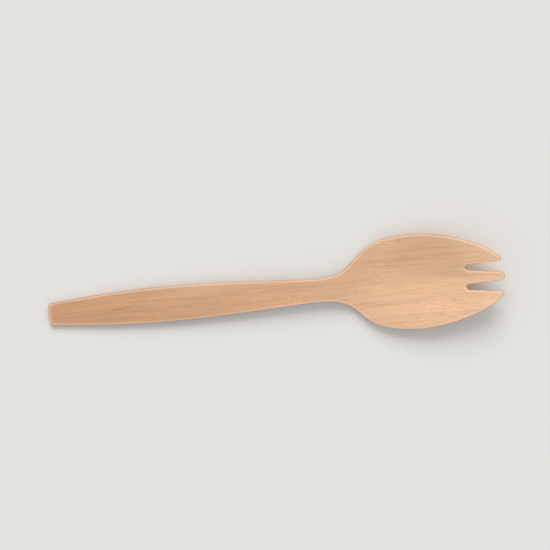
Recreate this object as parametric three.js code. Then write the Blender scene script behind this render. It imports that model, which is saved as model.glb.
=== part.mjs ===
// Disposable wooden spork: one birch veneer, cut to its outline and hot-pressed into a shallow bowl.
// Millimetres, +Z up. The spork lies as it comes to rest, hollow side up, on the foot of its bowl and
// on the end of its handle. +X runs towards the tines, and the origin is under the middle.
import * as THREE from "three";

// Handle and bowl, seen from above
const handleLength = 95; // from the end to the neck, the narrowest place
const headLength = 65; // from the neck to the tip of the centre tine
const endWidth = 7.9;
const endCornerRadius = 1.2;
const endFlare = THREE.MathUtils.degToRad(4.8); // of each side of the handle as it leaves the end
const handleWidth = 12.4;
const handleWidestFromEnd = 43;
const neckWidth = 8.2;
const bowlWidth = 33.6;
const bowlWidestFromNeck = 34.5;

// Tines and the two notches between them
const notchDepth = 13.4; // from the tip of the centre tine back to the root of a notch
const notchRootWidth = 2.1;
const notchMouthWidth = 3.9;
const centreTineRootWidth = 4.9;
const centreTineTipWidth = 3;
const centreTipRadius = 1;
const outerTipSetback = 0.8; // how far the outer tines end behind the centre tine
const outerTipRadius = 0.6;
const outerTipLean = THREE.MathUtils.degToRad(62); // of an outer tine's edge to the axis, at its tip

// Shares of a stretch of the outline over which it keeps the direction of its start and of its end
const handleRearEase = [0.29, 0.43];
const handleFrontEase = [0.41, 0.16];
const shoulderEase = [0.52, 0.73];
const bowlFrontEase = [0.41, 0.17];

// Veneer and the form that it is pressed to
const thickness = 1.8;
const edgeRadius = 0.35;
const neckBendLength = 16.5; // over which the veneer bends down from the neck into the head
const neckDrop = 2.2; // of the head's rim at the end of that bend, below the line of the handle
const headPitch = THREE.MathUtils.degToRad(7); // of the head's rim, upwards from the line of the handle
const dishLength = 61;
const dishWidth = 38;
const dishDepth = 3.8;
const dishFromNeck = 37.3; // to the deepest place
const footSink = 0.14; // how far the bottom is pressed in to make a flat foot
const footBlend = 0.06; // how far above and below the floor the foot eases into the bowl

// How finely the veneer is divided
const handleRearRows = 8;
const handleFrontRows = 9;
const shoulderRows = 18;
const bowlFrontRows = 10;
const tineRows = 8;
const centreTineColumns = 4;
const notchColumns = 6;
const outerTineColumns = 5;
const edgeSteps = 3;
const restSteps = 400;

const birch = new THREE.MeshStandardMaterial({ color: 0xdcb08c, roughness: 0.75, metalness: 0 });

// Places along the spork, measured from the end of the handle
const length = handleLength + headLength;
const neckAt = handleLength;
const bowlWidestAt = neckAt + bowlWidestFromNeck;
const dishAt = neckAt + dishFromNeck;
const notchRootRadius = notchRootWidth / 2;
const columns = centreTineColumns + 2 * (notchColumns + outerTineColumns);

const flat = (x, y) => new THREE.Vector2(x, y);
const heading = (angle) => flat(Math.cos(angle), Math.sin(angle));
const onCircle = (circle, angle) => heading(angle).multiplyScalar(circle.radius).add(circle.centre);
const mirrored = (row) => row.map((point) => flat(point.x, -point.y)).reverse();

// Circles that round the outline, on the side where Y is positive
const endCorner = {
  centre: flat(endCornerRadius, endWidth / 2 - endCornerRadius),
  radius: endCornerRadius,
};
const notchRoot = {
  centre: flat(length - notchDepth + notchRootRadius, centreTineRootWidth / 2 + notchRootRadius),
  radius: notchRootRadius,
};
const centreTip = {
  centre: flat(length - centreTipRadius, centreTineTipWidth / 2 - centreTipRadius),
  radius: centreTipRadius,
};
const outerTip = {
  centre: flat(
    length - outerTipSetback - outerTipRadius,
    centreTineTipWidth / 2 + notchMouthWidth + outerTipRadius,
  ),
  radius: outerTipRadius,
};

// The angle to the axis of the straight line that runs between two circles and touches both.
function leanBetween(a, b) {
  const run = b.centre.x - a.centre.x;
  const rise = Math.abs(b.centre.y - a.centre.y);
  return Math.atan2(rise, run) - Math.asin((a.radius + b.radius) / Math.hypot(run, rise));
}
const notchOuterLean = leanBetween(notchRoot, outerTip);
const notchInnerLean = leanBetween(notchRoot, centreTip);

// A stretch of the outline that leaves and arrives in the given directions.
function stretch(from, to, leaving, arriving, ease) {
  const span = to.x - from.x;
  const leave = heading(leaving).multiplyScalar(span * ease[0]).add(from);
  const arrive = heading(arriving).multiplyScalar(-span * ease[1]).add(to);
  return new THREE.CubicBezierCurve(from, leave, arrive, to);
}

const handleStart = onCircle(endCorner, Math.PI / 2 + endFlare);
const handleWidest = flat(handleWidestFromEnd, handleWidth / 2);
const neck = flat(neckAt, neckWidth / 2);
const bowlWidest = flat(bowlWidestAt, bowlWidth / 2);
const bowlEnd = onCircle(outerTip, Math.PI / 2 - outerTipLean);

const handleRear = stretch(handleStart, handleWidest, endFlare, 0, handleRearEase);
const handleFront = stretch(handleWidest, neck, 0, 0, handleFrontEase);
const shoulder = stretch(neck, bowlWidest, 0, 0, shoulderEase);
const bowlFront = stretch(bowlWidest, bowlEnd, 0, -outerTipLean, bowlFrontEase);
const notchOuterSide = new THREE.LineCurve(
  onCircle(notchRoot, Math.PI / 2 + notchOuterLean),
  onCircle(outerTip, -Math.PI / 2 + notchOuterLean),
);
const notchInnerSide = new THREE.LineCurve(
  onCircle(notchRoot, -Math.PI / 2 - notchInnerLean),
  onCircle(centreTip, Math.PI / 2 - notchInnerLean),
);

// Points on a straight line, both ends included.
function line(from, to, steps) {
  return new THREE.LineCurve(from, to).getPoints(steps);
}

// Points on part of a circle, both ends included.
function arc(circle, from, to, steps) {
  return Array.from({ length: steps + 1 }, (_, i) => {
    return onCircle(circle, THREE.MathUtils.lerp(from, to, i / steps));
  });
}

// The share of a curve at which it passes a place along the spork, found by halving.
const halvings = 40;
function shareAt(curve, x) {
  let low = 0;
  let high = 1;
  for (let step = 0; step < halvings; step++) {
    const middle = (low + high) / 2;
    if (curve.getPoint(middle).x < x) low = middle;
    else high = middle;
  }
  return low;
}

// The row of points across the head that runs round the roots of both notches.
const rootShare = shareAt(bowlFront, notchOuterSide.v1.x);
const rootSide = bowlFront.getPoint(rootShare);
function notchRootRow() {
  const inner = notchInnerSide.v1;
  const round = arc(
    notchRoot,
    1.5 * Math.PI - notchInnerLean,
    0.5 * Math.PI + notchOuterLean,
    notchColumns,
  );
  const half = [
    ...line(flat(inner.x, 0), inner, centreTineColumns / 2),
    ...round.slice(1),
    ...line(notchOuterSide.v1, rootSide, outerTineColumns).slice(1),
  ];
  return [...mirrored(half).slice(0, -1), ...half];
}
const rootRow = notchRootRow();

// A row across the veneer at a point of its side, bent back by a share of the notches' roots.
function rowAcross(side, bend) {
  return rootRow.map((point) => {
    return flat(side.x + bend * (point.x - rootSide.x), (side.y * point.y) / rootSide.y);
  });
}

// The rounded end of the handle, from one side to the other.
function endRow() {
  const corner = new THREE.Path();
  const { centre, radius } = endCorner;
  corner.absarc(centre.x, -centre.y, radius, -Math.PI / 2 - endFlare, -Math.PI, true);
  corner.lineTo(0, centre.y);
  corner.absarc(centre.x, centre.y, radius, Math.PI, Math.PI / 2 + endFlare, true);
  return corner.getSpacedPoints(columns);
}

// The rounded tip of the centre tine, from one side to the other.
function centreTipRow() {
  const tip = new THREE.Path();
  const { centre, radius } = centreTip;
  tip.absarc(centre.x, -centre.y, radius, -Math.PI / 2 + notchInnerLean, 0, false);
  tip.lineTo(length, centre.y);
  tip.absarc(centre.x, centre.y, radius, 0, Math.PI / 2 - notchInnerLean, false);
  return tip.getSpacedPoints(centreTineColumns);
}

// The flat blank: points and four-sided panels, counterclockwise as seen from above.
const points = [];
const panels = [];

function addRow(row) {
  return row.map((point) => points.push({ plan: point, inward: flat(0, 0) }) - 1);
}

function addPanels(rear, front) {
  for (let i = 0; i + 1 < rear.length; i++) {
    panels.push([rear[i], front[i], front[i + 1], rear[i + 1]]);
  }
}

// Rows of points that carry on forwards from one that is already there.
function addStrip(first, rows) {
  rows.map(addRow).reduce((rear, front) => {
    addPanels(rear, front);
    return front;
  }, first);
}

function addBody() {
  const stretches = [
    { curve: handleRear, rows: handleRearRows, end: 1, bend: 0 },
    { curve: handleFront, rows: handleFrontRows, end: 1, bend: 0 },
    { curve: shoulder, rows: shoulderRows, end: 1, bend: 0 },
    { curve: bowlFront, rows: bowlFrontRows, end: rootShare, bend: 1 },
  ];
  let last = addRow(endRow());
  for (const { curve, rows, end, bend } of stretches) {
    for (let i = 1; i <= rows; i++) {
      const share = i / rows;
      const row = addRow(rowAcross(curve.getPoint(end * share), bend * share ** 2));
      addPanels(last, row);
      last = row;
    }
  }
  return last;
}

// The rows of the outer tine on the side where Y is positive, from its root to its tip.
function outerTineRows() {
  const rows = [];
  for (let i = 1; i < tineRows; i++) {
    const inner = notchOuterSide.getPoint(i / tineRows);
    const outer = bowlFront.getPoint(THREE.MathUtils.lerp(rootShare, 1, i / tineRows));
    rows.push(line(inner, outer, outerTineColumns));
  }
  const from = -Math.PI / 2 + notchOuterLean;
  rows.push(arc(outerTip, from, Math.PI / 2 - outerTipLean, outerTineColumns));
  return rows;
}

function centreTineRows() {
  const rows = [];
  for (let i = 1; i < tineRows; i++) {
    const side = notchInnerSide.getPoint(i / tineRows);
    rows.push(line(flat(side.x, -side.y), side, centreTineColumns));
  }
  rows.push(centreTipRow());
  return rows;
}

function addTines(root) {
  const centreStart = outerTineColumns + notchColumns;
  const outer = outerTineRows();
  addStrip(root.slice(0, outerTineColumns + 1), outer.map(mirrored));
  addStrip(root.slice(centreStart, centreStart + centreTineColumns + 1), centreTineRows());
  addStrip(root.slice(-outerTineColumns - 1), outer);
}

// The outline as a run of points: the edges that only one panel has.
function findRim() {
  const edgesOf = (panel) => panel.map((from, i) => `${from} ${panel[(i + 1) % panel.length]}`);
  const edges = new Set(panels.flatMap(edgesOf));
  const next = new Map();
  for (const edge of edges) {
    const [from, to] = edge.split(" ").map(Number);
    if (!edges.has(`${to} ${from}`)) next.set(from, to);
  }
  const run = [next.keys().next().value];
  while (next.get(run.at(-1)) !== run[0]) run.push(next.get(run.at(-1)));
  return run;
}

// Each point of the outline gets the direction in which its edge is rounded.
function pointRimInward(rim) {
  rim.forEach((id, i) => {
    const here = points[id].plan;
    const before = points[rim.at(i - 1)].plan;
    const after = points[rim[(i + 1) % rim.length]].plan;
    const run = here.clone().sub(before).normalize().add(after.clone().sub(here).normalize());
    points[id].inward = flat(-run.y, run.x).normalize();
  });
}

// The form that the veneer is pressed to

// Height of the rim's line, from the line of the handle: a straight handle, a bend down from the neck,
// and a head that rises straight to the tips.
function rimHeight(x) {
  if (x < neckAt) return 0;
  const bendEnd = neckAt + neckBendLength;
  const rise = Math.tan(headPitch);
  if (x > bendEnd) return rise * (x - bendEnd) - neckDrop;
  const share = (x - neckAt) / neckBendLength;
  const ease = share ** 2 * (3 - 2 * share);
  return -neckDrop * ease - rise * neckBendLength * share ** 2 * (1 - share);
}

// How deep the dish is at a place: an oval hollow, eased at its rim.
function dishAtPlace(plan) {
  const along = (plan.x - dishAt) / (dishLength / 2);
  const across = plan.y / (dishWidth / 2);
  return dishDepth * Math.max(0, 1 - along ** 2 - across ** 2) ** 2;
}

const formHeight = (plan) => rimHeight(plan.x) - dishAtPlace(plan);

// How steeply the handle rises when the spork lies on its end and on the lowest place of its bowl.
function findRestSlope() {
  const places = line(flat(neckAt, 0), flat(length, 0), restSteps);
  return Math.max(...places.map((place) => -formHeight(place) / place.x));
}
const restSlope = findRestSlope();

// Height of the veneer's middle over the floor: the form as it lies, flat where it touches.
function pressedHeight(plan) {
  const height = formHeight(plan) + restSlope * plan.x - footSink;
  if (height > footBlend) return thickness / 2 + height;
  const blended = Math.max(0, height + footBlend) ** 2 / (4 * footBlend);
  return thickness / 2 + blended;
}

const slopeStep = 0.01;
function slopeAlong(plan, axis) {
  const step = axis.clone().multiplyScalar(slopeStep);
  return (pressedHeight(plan.clone().add(step)) - pressedHeight(plan.clone().sub(step))) / (2 * slopeStep);
}

// A point of the pressed veneer: a place on the blank, moved in from the outline, at a level above or
// below the veneer's middle, square to its surface.
function pressedPoint(point, inset, level) {
  const plan = point.inward.clone().multiplyScalar(inset).add(point.plan);
  const slopeX = slopeAlong(plan, flat(1, 0));
  const slopeY = slopeAlong(plan, flat(0, 1));
  const square = new THREE.Vector3(-slopeX, -slopeY, 1).normalize();
  return square.multiplyScalar(level).add(new THREE.Vector3(plan.x, plan.y, pressedHeight(plan)));
}

// The section of the veneer's edge, from its upper face round to its lower face.
function edgeSection() {
  const upper = Array.from({ length: edgeSteps + 1 }, (_, i) => {
    const turn = (i / edgeSteps) * (Math.PI / 2);
    return {
      inset: edgeRadius * (1 - Math.sin(turn)),
      level: thickness / 2 - edgeRadius * (1 - Math.cos(turn)),
    };
  });
  const lower = upper.map(({ inset, level }) => ({ inset, level: -level })).reverse();
  return [...upper, ...lower];
}

function pressBlank() {
  addTines(addBody());
  const rim = findRim();
  pointRimInward(rim);

  const vertices = [];
  const triangles = [];
  const addVertex = (id, { inset, level }) => {
    return vertices.push(pressedPoint(points[id], inset, level)) - 1;
  };
  const addQuad = (a, b, c, d) => triangles.push(a, b, c, a, c, d);

  const section = edgeSection();
  const all = [...points.keys()];
  const upper = all.map((id) => addVertex(id, section[0]));
  const lower = all.map((id) => addVertex(id, section.at(-1)));
  for (const [a, b, c, d] of panels) {
    const turned = points[a].plan.y + points[c].plan.y > 0;
    const [p, q, r, s] = turned ? [b, c, d, a] : [a, b, c, d];
    addQuad(upper[p], upper[q], upper[r], upper[s]);
    addQuad(lower[s], lower[r], lower[q], lower[p]);
  }

  const loops = [
    rim.map((id) => upper[id]),
    ...section.slice(1, -1).map((step) => rim.map((id) => addVertex(id, step))),
    rim.map((id) => lower[id]),
  ];
  for (let level = 0; level + 1 < loops.length; level++) {
    rim.forEach((_, i) => {
      const next = (i + 1) % rim.length;
      addQuad(loops[level][i], loops[level + 1][i], loops[level + 1][next], loops[level][next]);
    });
  }

  const geometry = new THREE.BufferGeometry().setFromPoints(vertices).setIndex(triangles);
  geometry.computeVertexNormals();
  return geometry;
}

const spork = new THREE.Mesh(pressBlank(), birch);
spork.name = "spork";
spork.position.x = -length / 2;

const group = new THREE.Group();
group.add(spork);

export default group;
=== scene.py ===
"""A disposable birch spork, lying hollow side up on a pale floor and seen from above."""

import math

import bmesh
import bpy
from mathutils import Color, Matrix, Vector, kdtree


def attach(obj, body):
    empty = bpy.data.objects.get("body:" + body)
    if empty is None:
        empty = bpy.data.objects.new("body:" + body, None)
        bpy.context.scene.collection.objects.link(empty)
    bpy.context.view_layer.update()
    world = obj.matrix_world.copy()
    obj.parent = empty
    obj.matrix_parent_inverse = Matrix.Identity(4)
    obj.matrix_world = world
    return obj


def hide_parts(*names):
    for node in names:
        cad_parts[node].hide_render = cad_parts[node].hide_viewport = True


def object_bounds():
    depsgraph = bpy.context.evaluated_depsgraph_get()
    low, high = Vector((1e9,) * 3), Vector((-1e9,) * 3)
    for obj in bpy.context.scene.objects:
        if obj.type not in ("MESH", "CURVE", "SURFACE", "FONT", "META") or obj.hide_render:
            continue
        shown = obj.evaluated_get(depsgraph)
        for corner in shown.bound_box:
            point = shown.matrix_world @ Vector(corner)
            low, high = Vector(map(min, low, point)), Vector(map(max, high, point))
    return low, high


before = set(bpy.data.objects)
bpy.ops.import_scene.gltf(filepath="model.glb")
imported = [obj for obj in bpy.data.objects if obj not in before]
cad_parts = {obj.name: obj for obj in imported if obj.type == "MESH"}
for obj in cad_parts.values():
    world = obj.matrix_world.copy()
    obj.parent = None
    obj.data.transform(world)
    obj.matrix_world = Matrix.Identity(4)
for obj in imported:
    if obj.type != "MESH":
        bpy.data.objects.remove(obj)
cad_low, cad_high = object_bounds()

MM = 0.001
FULL_CHANNEL = 255

# The colour sockets of a Mix node, which has sockets of the same names for other kinds of value
MIX_FIRST = 6
MIX_SECOND = 7
MIX_RESULT = 2

# Camera, in the place from which the photograph shows the spork
CAMERA_PLACE = Vector((40.6, 199.7, 1283.4)) * MM
CAMERA_LEAN = math.radians(-8.7)
CAMERA_SIDE_LEAN = math.radians(0.95)
PICTURE_TURN = math.radians(-5.6)
LENS_MM = 242.6
SENSOR_MM = 36

# Mesh of the veneer
MERGE_REACH = 0.001 * MM
FACE_ANGLE = math.radians(40)
SHAPE_ANGLE = math.radians(60)
SMOOTHING_LEVELS = 2
VENEER_THICKNESS = 1.8 * MM
EDGE_RADIUS = 0.35 * MM
WALL_NORMAL_Z = 0.35
ROUNDING_STEPS = 3
RIM_REACH = 3 * MM
END_GRAIN_POWER = 4

# Colours of the wood as they look in even light, with their places along the spork: darker towards the
# end of the handle, partly the wood's own tone and partly painted shade where less light falls on the
# handle's end
TONES_AND_PAINTED_SHADE_ALONG = [
    (0, (199, 152, 116)),
    (0.3, (204, 159, 123)),
    (0.55, (214, 168, 132)),
    (0.72, (221, 178, 143)),
    (0.85, (225, 182, 147)),
    (1, (232, 190, 153)),
]
# Pale tone beside the cut edge: partly paler cut wood, partly a painted highlight of the rounded edge
PALE_EDGE_AND_HIGHLIGHT_TONE = (245, 219, 195)
END_GRAIN_TONE = (196, 150, 114)
PORE_TONE = (168, 118, 82)

# Grain: where in the noise it starts, each layer's repeats per metre along the spork and across it and
# the detail of its noise, and how much it shades the wood
GRAIN_START = (11.6, 5.1, 8.55)
GRAIN_MIDDLE = 0.5
SWAY_GRAIN = (16, 60, 1)
SWAY_WIDTH = 2 * MM
BAND_GRAIN = (7, 320, 2)
BAND_SHADE = 0.24
CLOUD_GRAIN = (75, 130, 2)
CLOUD_SHADE = 0.28
FIBRE_GRAIN = (55, 2600, 3)
FIBRE_SHADE = 0.46
PORE_GRAIN = (420, 5200, 1)
PORE_RANGE = (0.6, 0.72)
PORE_PATCHES = (0.42, 0.58)
PORE_SHARE = 0.5
PORE_DEPTH = 0.5
GRAIN_RELIEF = 0.08 * MM
GRAIN_RELIEF_SHARE = 0.3

# Streaks on the handle, by the places of their middles: a small dark one in the wood, and a broad paler
# band along the upper side that is a painted highlight and a darker band along the lower side that is
# painted shade
STREAKS_AND_PAINTED_LIGHT = [
    dict(
        along=-54.6 * MM, side=-0.2 * MM, slope=0.096, half_length=6 * MM, half_width=0.8 * MM,
        tone=(172, 122, 82), share=0.45,
    ),
    # Painted highlight along the upper side of the handle
    dict(
        along=-26 * MM, side=5 * MM, slope=0, half_length=25 * MM, half_width=5 * MM,
        tone=(232, 188, 152), share=0.38,
    ),
    # Painted shade along the lower side of the handle
    dict(
        along=-28 * MM, side=-5.5 * MM, slope=0, half_length=32 * MM, half_width=3 * MM,
        tone=(172, 122, 82), share=0.24,
    ),
]

# The cut edge, by distance from its wall: how pale the wood turns beside it, partly paler cut wood and
# partly a painted highlight where light catches the rounded edge, and how dark the wall is
EDGE_WIDTH = 0.9 * MM
PALE_EDGE_AND_HIGHLIGHT_SHARES = [(0, 0.05), (0.3, 0.2), (0.5, 0.42), (0.6, 0.38), (1, 0)]
CUT_SHADE = [(0, 0.76), (0.5, 1), (1, 1)]
END_GRAIN_SHARE = 0.55

ROUGHNESS = (0.55, 0.75)
SPECULAR_LEVEL = 0.3

# Light
KEY_ELEVATION = math.radians(40)
KEY_SPREAD = math.radians(35)
KEY_STRENGTH = 1.72
SKY_LEVEL = 0.65
BACKDROP_LEVEL = 0.86
FLOOR_TONE = (228, 227, 224)
FLOOR_SIZE = 6


def linear(tone):
    """A colour given in 8-bit sRGB, as Blender's linear colour."""
    written = Color([channel / FULL_CHANNEL for channel in tone])
    return (*written.from_srgb_to_scene_linear(), 1)


class Finish:
    """A material and a short way to add nodes to it."""

    def __init__(self, name):
        self.material = bpy.data.materials.new(name)
        self.material.use_nodes = True
        self.tree = self.material.node_tree
        self.shader = self.tree.nodes["Principled BSDF"]

    def add(self, kind, inputs=None, **settings):
        """A node whose inputs are numbers, colours or other nodes' sockets, by name or by place."""
        node = self.tree.nodes.new("ShaderNode" + kind)
        for name, value in settings.items():
            setattr(node, name, value)
        for key, value in (inputs or {}).items():
            self.feed(node.inputs[key], value)
        return node

    def feed(self, socket, value):
        if isinstance(value, bpy.types.NodeSocket):
            self.tree.links.new(value, socket)
        else:
            socket.default_value = value

    def math(self, operation, *values):
        return self.add("Math", dict(enumerate(values)), operation=operation).outputs[0]

    def scaled(self, colour, factor):
        return self.add("VectorMath", {0: colour, "Scale": factor}, operation="SCALE").outputs[0]

    def blend(self, share, first, second):
        mix = self.add("Mix", data_type="RGBA")
        self.feed(mix.inputs["Factor"], share)
        self.feed(mix.inputs[MIX_FIRST], first)
        self.feed(mix.inputs[MIX_SECOND], second)
        return mix.outputs[MIX_RESULT]

    def between(self, value, low, high):
        """0 at low and 1 at high, eased between them and level beyond."""
        inputs = {"Value": value, "From Min": low, "From Max": high}
        return self.add("MapRange", inputs, interpolation_type="SMOOTHSTEP").outputs[0]

    def ramp(self, value, low, high, stops):
        """Colours that follow each other as a value goes from low to high."""
        share = self.add("MapRange", {"Value": value, "From Min": low, "From Max": high}).outputs[0]
        ramp = self.add("ValToRGB", {"Fac": share})
        elements = ramp.color_ramp.elements
        elements[0].color = stops[0][1]
        elements[1].color = stops[-1][1]
        for place, colour in stops[1:-1]:
            elements.new(place).color = colour
        return ramp.outputs["Color"]

    def held(self, name):
        """A number that the mesh holds at each vertex."""
        return self.add("Attribute", attribute_name=name).outputs["Fac"]


def tone_and_painted_shade_along(finish, along):
    """The slow drift of colour from the end of the handle to the tines, darker at the handle's end:
    partly the wood's own tone and partly painted shade.
    """
    stops = [(place, linear(tone)) for place, tone in TONES_AND_PAINTED_SHADE_ALONG]
    return finish.ramp(along, cad_low.x, cad_high.x, stops)


def by_edge_distance(finish, stops):
    """A number that changes with the distance from the wall of the cut edge."""
    greys = [(place, (value, value, value, 1)) for place, value in stops]
    return finish.ramp(finish.held("rim_distance"), 0, EDGE_WIDTH, greys)


def grain_layer(finish, place, grain):
    """Noise drawn out along the grain, from 0 to 1."""
    along, across, detail = grain
    mapping = {"Vector": place, "Location": GRAIN_START, "Scale": (along, across, across)}
    stretched = finish.add("Mapping", mapping).outputs[0]
    return finish.add("TexNoise", {"Vector": stretched, "Scale": 1, "Detail": detail}).outputs[0]


def shift_by(finish, value, layer, amount):
    """A value raised and lowered by a layer of noise."""
    return finish.math("MULTIPLY_ADD", finish.math("SUBTRACT", layer, GRAIN_MIDDLE), amount, value)


def with_streak_or_painted_light(finish, wood, along, side, streak_or_painted_light):
    """The wood with a streak, or a band of painted highlight or painted shade, full in its middle and
    gone at its ends and sides.
    """
    from_middle = finish.math("SUBTRACT", along, streak_or_painted_light["along"])
    axis = finish.math("MULTIPLY_ADD", from_middle, streak_or_painted_light["slope"], streak_or_painted_light["side"])
    off_axis = finish.math("ABSOLUTE", finish.math("SUBTRACT", side, axis))
    length_share = finish.between(finish.math("ABSOLUTE", from_middle), streak_or_painted_light["half_length"], 0)
    width_share = finish.between(off_axis, streak_or_painted_light["half_width"], 0)
    mask = finish.math("MULTIPLY", length_share, width_share)
    return finish.blend(finish.math("MULTIPLY", mask, streak_or_painted_light["share"]), wood, linear(streak_or_painted_light["tone"]))


def birch_finish():
    """Bare pressed birch: a soft drift of tone that is partly painted shade towards the handle's end,
    fine fibres, small pores, a painted highlight and painted shade along the handle's two sides, and
    paler cut edges that are partly a painted highlight.
    """
    finish = Finish("pressed birch")
    place = finish.add("TexCoord").outputs["Object"]
    split = finish.add("SeparateXYZ", {0: place})
    along, side = split.outputs["X"], split.outputs["Y"]
    depth = finish.held("sheet_depth")
    sheet = finish.add("CombineXYZ", {"X": along, "Y": side, "Z": depth}).outputs[0]

    swayed = shift_by(finish, side, grain_layer(finish, sheet, SWAY_GRAIN), SWAY_WIDTH)
    grain = finish.add("CombineXYZ", {"X": along, "Y": swayed, "Z": depth}).outputs[0]
    bands = grain_layer(finish, grain, BAND_GRAIN)
    clouds = grain_layer(finish, sheet, CLOUD_GRAIN)
    fibres = grain_layer(finish, grain, FIBRE_GRAIN)
    pores = finish.between(grain_layer(finish, grain, PORE_GRAIN), *PORE_RANGE)
    pores = finish.math("MULTIPLY", pores, finish.between(clouds, *PORE_PATCHES))

    shade = shift_by(finish, 1.0, bands, BAND_SHADE)
    shade = shift_by(finish, shade, clouds, CLOUD_SHADE)
    shade = shift_by(finish, shade, fibres, FIBRE_SHADE)
    shade = finish.math("MULTIPLY", shade, by_edge_distance(finish, CUT_SHADE))
    # Tone along the spork, partly painted shade towards the handle's end
    wood = finish.scaled(tone_and_painted_shade_along(finish, along), shade)
    wood = finish.blend(finish.math("MULTIPLY", pores, PORE_SHARE), wood, linear(PORE_TONE))
    # A dark streak in the wood, then the painted highlight and painted shade along the handle's two
    # sides
    for streak_or_painted_light in STREAKS_AND_PAINTED_LIGHT:
        wood = with_streak_or_painted_light(finish, wood, along, side, streak_or_painted_light)

    # Pale band beside the cut edge: partly paler cut wood, partly a painted highlight of the rounded
    # edge
    wood = finish.blend(by_edge_distance(finish, PALE_EDGE_AND_HIGHLIGHT_SHARES), wood, linear(PALE_EDGE_AND_HIGHLIGHT_TONE))
    end_grain = finish.math("MULTIPLY", finish.held("end_grain"), END_GRAIN_SHARE)
    wood = finish.blend(end_grain, wood, linear(END_GRAIN_TONE))
    finish.feed(finish.shader.inputs["Base Color"], wood)

    smooth, rough = ROUGHNESS
    roughness = finish.math("MULTIPLY_ADD", fibres, rough - smooth, smooth)
    finish.feed(finish.shader.inputs["Roughness"], roughness)
    finish.shader.inputs["Specular IOR Level"].default_value = SPECULAR_LEVEL
    height = finish.math("MULTIPLY_ADD", pores, -PORE_DEPTH, fibres)
    relief = {"Height": height, "Strength": GRAIN_RELIEF_SHARE, "Distance": GRAIN_RELIEF}
    finish.feed(finish.shader.inputs["Normal"], finish.add("Bump", relief).outputs[0])
    return finish.material


def cut_wall(mesh):
    """The vertices on the upright wall of the cut edge."""
    return [vert for vert in mesh.verts if abs(vert.normal.z) < WALL_NORMAL_Z]


def mark_veneer(mesh):
    """Each vertex holds its depth in the sheet, its distance from the cut and its share of end grain."""
    sheet_depth = mesh.verts.layers.float.new("sheet_depth")
    rim_distance = mesh.verts.layers.float.new("rim_distance")
    end_grain = mesh.verts.layers.float.new("end_grain")
    mesh.normal_update()
    wall = cut_wall(mesh)
    tree = kdtree.KDTree(len(wall))
    for index, vert in enumerate(wall):
        tree.insert(vert.co, index)
    tree.balance()
    for vert in mesh.verts:
        rounding = EDGE_RADIUS * (1 - abs(vert.normal.z))
        vert[sheet_depth] = rounding if vert.normal.z > 0 else VENEER_THICKNESS - rounding
        vert[rim_distance] = min(tree.find(vert.co)[2], RIM_REACH)
    for vert in wall:
        vert[end_grain] = vert.normal.x ** END_GRAIN_POWER


def hold_rounding(mesh):
    """Creases the loops where the rounded edges meet the faces, so that smoothing leaves them there."""
    crease = mesh.edges.layers.float.new("crease_edge")
    loop = set(cut_wall(mesh))
    passed = set(loop)
    for _ in range(ROUNDING_STEPS):
        loop = {edge.other_vert(vert) for vert in loop for edge in vert.link_edges} - passed
        passed |= loop
    for edge in mesh.edges:
        if loop.issuperset(edge.verts):
            edge[crease] = 1


def pressed_spork():
    """The veneer, as a merged and smoothed copy of the solid."""
    mesh = bmesh.new()
    mesh.from_mesh(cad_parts["spork"].data)
    bmesh.ops.remove_doubles(mesh, verts=mesh.verts, dist=MERGE_REACH)
    bmesh.ops.join_triangles(
        mesh, faces=mesh.faces, angle_face_threshold=FACE_ANGLE, angle_shape_threshold=SHAPE_ANGLE
    )
    mark_veneer(mesh)
    hold_rounding(mesh)
    for face in mesh.faces:
        face.smooth = True
        face.material_index = 0
    data = bpy.data.meshes.new("pressed_spork")
    mesh.to_mesh(data)
    mesh.free()
    if "custom_normal" in data.attributes:
        data.attributes.remove(data.attributes["custom_normal"])
    data.materials.clear()
    data.materials.append(birch_finish())
    piece = bpy.data.objects.new("pressed_spork", data)
    bpy.context.scene.collection.objects.link(piece)
    smoothing = piece.modifiers.new("smoothing", "SUBSURF")
    smoothing.levels = SMOOTHING_LEVELS
    smoothing.render_levels = SMOOTHING_LEVELS
    return piece


def pale_floor():
    """The surface that the spork lies on."""
    mesh = bmesh.new()
    bmesh.ops.create_grid(mesh, x_segments=1, y_segments=1, size=FLOOR_SIZE / 2)
    data = bpy.data.meshes.new("floor")
    mesh.to_mesh(data)
    mesh.free()
    finish = Finish("pale floor")
    finish.shader.inputs["Base Color"].default_value = linear(FLOOR_TONE)
    finish.shader.inputs["Specular IOR Level"].default_value = 0
    data.materials.append(finish.material)
    floor = bpy.data.objects.new("floor", data)
    bpy.context.scene.collection.objects.link(floor)
    return floor


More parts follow.
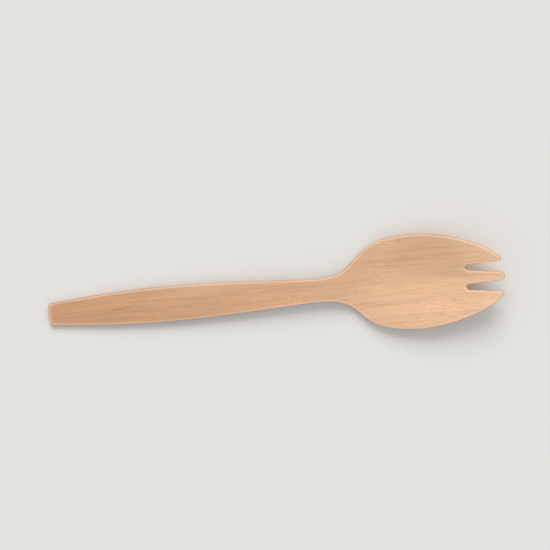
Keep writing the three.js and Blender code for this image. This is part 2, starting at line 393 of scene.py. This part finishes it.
def camera_above():
    """The camera looks down on the spork, which lies in the photograph's place, size and tilt."""
    data = bpy.data.cameras.new("camera")
    data.lens = LENS_MM
    data.sensor_width = SENSOR_MM
    camera = bpy.data.objects.new("camera", data)
    camera.location = CAMERA_PLACE
    camera.rotation_euler = (CAMERA_LEAN, CAMERA_SIDE_LEAN, PICTURE_TURN)
    bpy.context.scene.collection.objects.link(camera)
    bpy.context.scene.camera = camera


def key_light():
    """One soft light from the top of the picture, which shades the hollow of the bowl."""
    data = bpy.data.lights.new("key", "SUN")
    data.angle = KEY_SPREAD
    data.energy = KEY_STRENGTH
    lamp = bpy.data.objects.new("key", data)
    picture_up = Matrix.Rotation(PICTURE_TURN, 3, "Z") @ Vector((0, 1, 0))
    away = math.cos(KEY_ELEVATION) * picture_up + math.sin(KEY_ELEVATION) * Vector((0, 0, 1))
    lamp.rotation_euler = away.to_track_quat("Z", "Y").to_euler()
    bpy.context.scene.collection.objects.link(lamp)


def sky():
    """Even light from all round, with a pale backdrop for the camera and for what mirrors it."""
    world = bpy.data.worlds.new("sky")
    bpy.context.scene.world = world
    world.use_nodes = True
    tree = world.node_tree
    background = tree.nodes["Background"]
    background.inputs["Color"].default_value = (1, 1, 1, 1)
    path = tree.nodes.new("ShaderNodeLightPath")
    seen = path.outputs["Is Camera Ray"]
    for ray in ("Is Glossy Ray", "Is Transmission Ray"):
        either = tree.nodes.new("ShaderNodeMath")
        either.operation = "MAXIMUM"
        tree.links.new(seen, either.inputs[0])
        tree.links.new(path.outputs[ray], either.inputs[1])
        seen = either.outputs[0]
    level = tree.nodes.new("ShaderNodeMapRange")
    tree.links.new(seen, level.inputs["Value"])
    level.inputs["To Min"].default_value = SKY_LEVEL
    level.inputs["To Max"].default_value = BACKDROP_LEVEL
    tree.links.new(level.outputs[0], background.inputs["Strength"])


spork = pressed_spork()
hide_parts("spork")
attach(spork, "root")
pale_floor()
camera_above()
key_light()
sky()
bpy.context.scene.view_settings.view_transform = "Standard"
